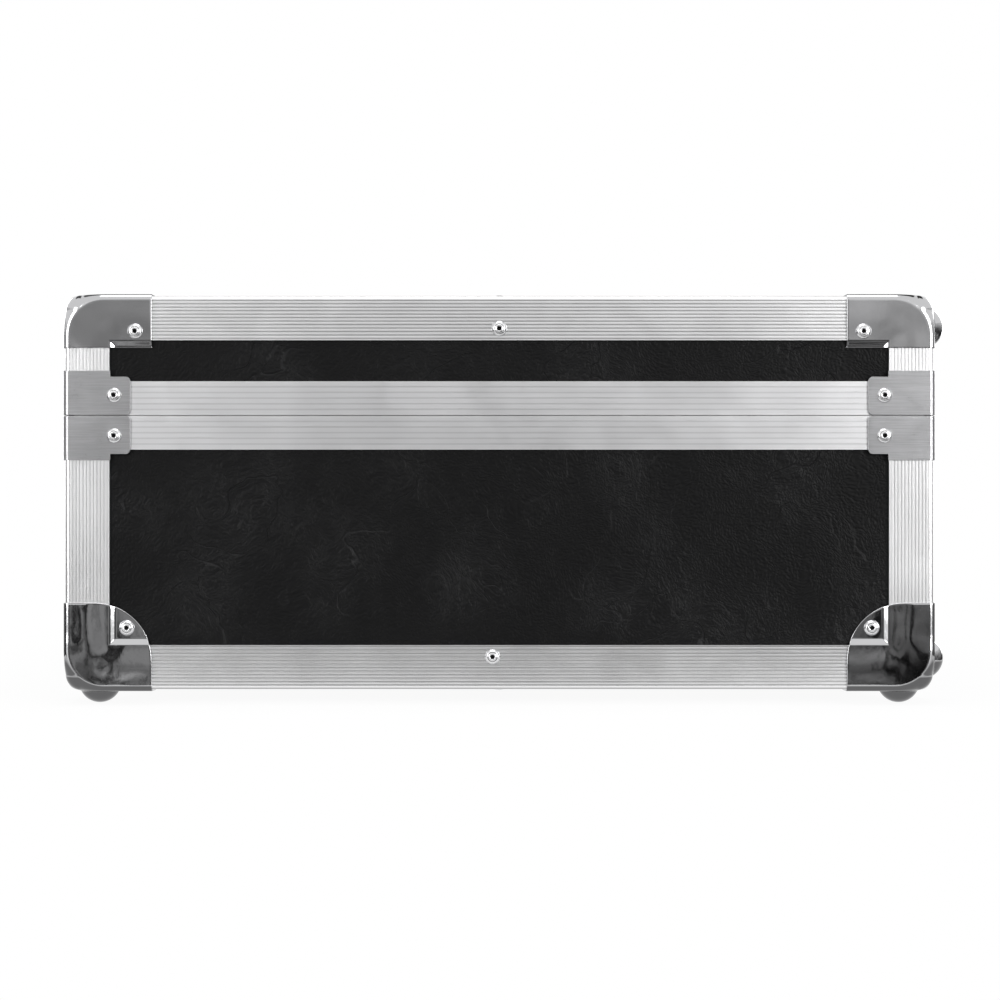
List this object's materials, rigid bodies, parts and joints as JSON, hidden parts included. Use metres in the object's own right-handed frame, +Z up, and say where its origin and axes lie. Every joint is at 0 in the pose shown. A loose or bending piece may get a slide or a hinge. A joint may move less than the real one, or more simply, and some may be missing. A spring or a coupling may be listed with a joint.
{
  "type": "synthesizer hard case",
  "caption": "Hard case with ribbed aluminium edges, black covered panels, chrome corners with foot domes, hinged lid, twist latches and a folding handle.",
  "frame": {"origin": "middle of the case's whole footprint, on the plane under the foot domes", "axes": "+X along the case's length, -Y towards the front with latches and handle, +Z up through the lid"},
  "size_m": [0.7852, 0.4765, 0.2136],
  "materials": {
    "leatherette": "black crinkled leatherette laid over plywood",
    "foam": "soft charcoal foam lining",
    "corner_chrome": "pressed steel, bright chrome",
    "brushed_steel": "brushed along its length",
    "rim_aluminium": "satin anodised extrusion with fine flutes",
    "edge_aluminium": "satin anodised extrusion with ribs",
    "rivet_steel": "polished blind rivets",
    "grip_rubber": "black moulded grip",
    "pin_steel": "turned steel pins",
    "latch_steel": "nickel plated pressed steel",
    "hinge_steel": "nickel plated hinge leaves",
    "handle_steel": "nickel plated forged steel"
  },
  "bodies": {
    "base": {"base_bottom_panel": "leatherette", "base_front_panel": "leatherette", "base_rear_panel": "leatherette", "base_left_panel": "leatherette", "base_right_panel": "leatherette", "base_edge_front": "edge_aluminium", "base_edge_rear": "edge_aluminium", "base_edge_left": "edge_aluminium", "base_edge_right": "edge_aluminium", "base_uprights": "edge_aluminium", "base_rim_front": "rim_aluminium", "base_rim_rear": "rim_aluminium", "base_rim_left": "rim_aluminium", "base_rim_right": "rim_aluminium", "base_corners_front": "corner_chrome", "base_corners_rear": "corner_chrome", "base_braces": "brushed_steel", "base_rivets": "rivet_steel", "base_floor_foam": "foam", "base_wall_foam": "foam", "handle_brackets": "handle_steel", "handle_pins": "pin_steel", "latch_plate_left": "latch_steel", "latch_plate_right": "latch_steel", "latch_hook_pins": "pin_steel", "hinge_base_leaves": "hinge_steel", "hinge_pins": "pin_steel"},
    "lid": {"lid_top_panel": "leatherette", "lid_front_panel": "leatherette", "lid_rear_panel": "leatherette", "lid_left_panel": "leatherette", "lid_right_panel": "leatherette", "lid_edge_front": "edge_aluminium", "lid_edge_rear": "edge_aluminium", "lid_edge_left": "edge_aluminium", "lid_edge_right": "edge_aluminium", "lid_uprights": "edge_aluminium", "lid_rim_front": "rim_aluminium", "lid_rim_rear": "rim_aluminium", "lid_rim_left": "rim_aluminium", "lid_rim_right": "rim_aluminium", "lid_corners_front": "corner_chrome", "lid_corners_rear": "corner_chrome", "lid_braces": "brushed_steel", "lid_rivets": "rivet_steel", "lid_top_foam": "foam", "lid_wall_foam": "foam", "latch_strike_left": "latch_steel", "latch_strike_right": "latch_steel", "hinge_lid_leaves": "hinge_steel"},
    "handle": {"handle_bail": "handle_steel", "handle_grip": "grip_rubber"},
    "rotor_left": {"latch_rotor_left": "latch_steel", "latch_wing_pin_left": "pin_steel"},
    "wing_left": {"latch_wing_left": "latch_steel"},
    "hook_left": {"latch_hook_left": "latch_steel"},
    "rotor_right": {"latch_rotor_right": "latch_steel", "latch_wing_pin_right": "pin_steel"},
    "wing_right": {"latch_wing_right": "latch_steel"},
    "hook_right": {"latch_hook_right": "latch_steel"}
  },
  "joints": [
    {"name": "lid_hinge", "type": "hinge", "parent": "base", "child": "lid", "pos_m": [0, 0.23309, 0.15], "axis": [-1, 0, 0], "range_deg": [0, 105]},
    {"name": "handle_swing", "type": "hinge", "parent": "base", "child": "handle", "pos_m": [0, -0.22575, 0.103], "axis": [-1, 0, 0], "range_deg": [0, 90]},
    {"name": "latch_turn_left", "type": "hinge", "parent": "base", "child": "rotor_left", "pos_m": [-0.235, -0.22475, 0.123], "axis": [0, -1, 0], "range_deg": [0, 180]},
    {"name": "wing_fold_left", "type": "hinge", "parent": "rotor_left", "child": "wing_left", "pos_m": [-0.235, -0.23095, 0.123], "axis": [-1, 0, 0], "range_deg": [0, 90]},
    {"name": "hook_tilt_left", "type": "hinge", "parent": "base", "child": "hook_left", "pos_m": [-0.235, -0.22335, 0.11], "axis": [-1, 0, 0], "range_deg": [0, 5]},
    {"name": "latch_turn_right", "type": "hinge", "parent": "base", "child": "rotor_right", "pos_m": [0.235, -0.22475, 0.123], "axis": [0, -1, 0], "range_deg": [0, 180]},
    {"name": "wing_fold_right", "type": "hinge", "parent": "rotor_right", "child": "wing_right", "pos_m": [0.235, -0.23095, 0.123], "axis": [-1, 0, 0], "range_deg": [0, 90]},
    {"name": "hook_tilt_right", "type": "hinge", "parent": "base", "child": "hook_right", "pos_m": [0.235, -0.22335, 0.11], "axis": [-1, 0, 0], "range_deg": [0, 5]}
  ],
  "couplings": [
    {"joint": "hook_tilt_left", "follows": "latch_turn_left", "ratio": 0.02777},
    {"joint": "hook_tilt_right", "follows": "latch_turn_right", "ratio": 0.02777}
  ]
}
